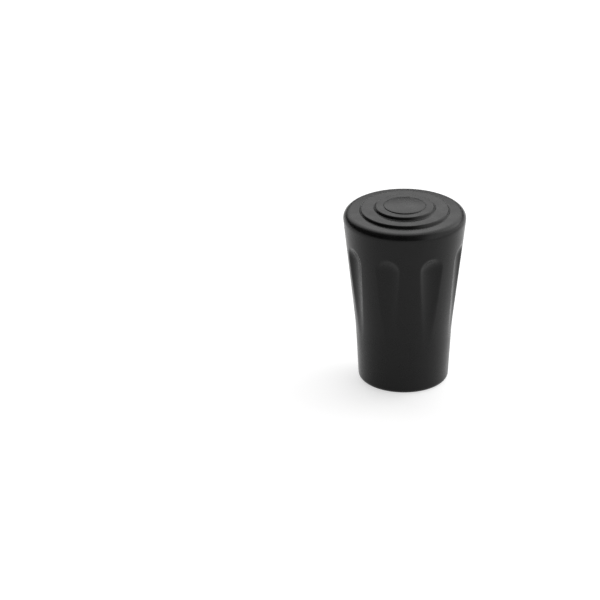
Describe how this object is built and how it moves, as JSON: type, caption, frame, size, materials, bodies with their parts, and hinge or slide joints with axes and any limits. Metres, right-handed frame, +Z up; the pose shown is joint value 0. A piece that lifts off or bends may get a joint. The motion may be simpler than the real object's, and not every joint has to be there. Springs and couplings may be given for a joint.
{
  "type": "trekking pole rubber tip",
  "caption": "Tapered rubber foot for a trekking pole, with a fluted flare, a stepped ringed tread and a blind bore in the narrow end that presses over the pole's own tip.",
  "frame": {"origin": "centre of the mouth's end face, on the tip's axis", "axes": "+Z runs up the axis from the mouth to the ringed tread, and +X passes through the middle of one flute"},
  "size_m": [0.033, 0.033, 0.0507],
  "materials": {
    "rubber": "satin black moulded rubber"
  },
  "bodies": {
    "root": {"rubber_tip": "rubber"}
  },
  "joints": []
}
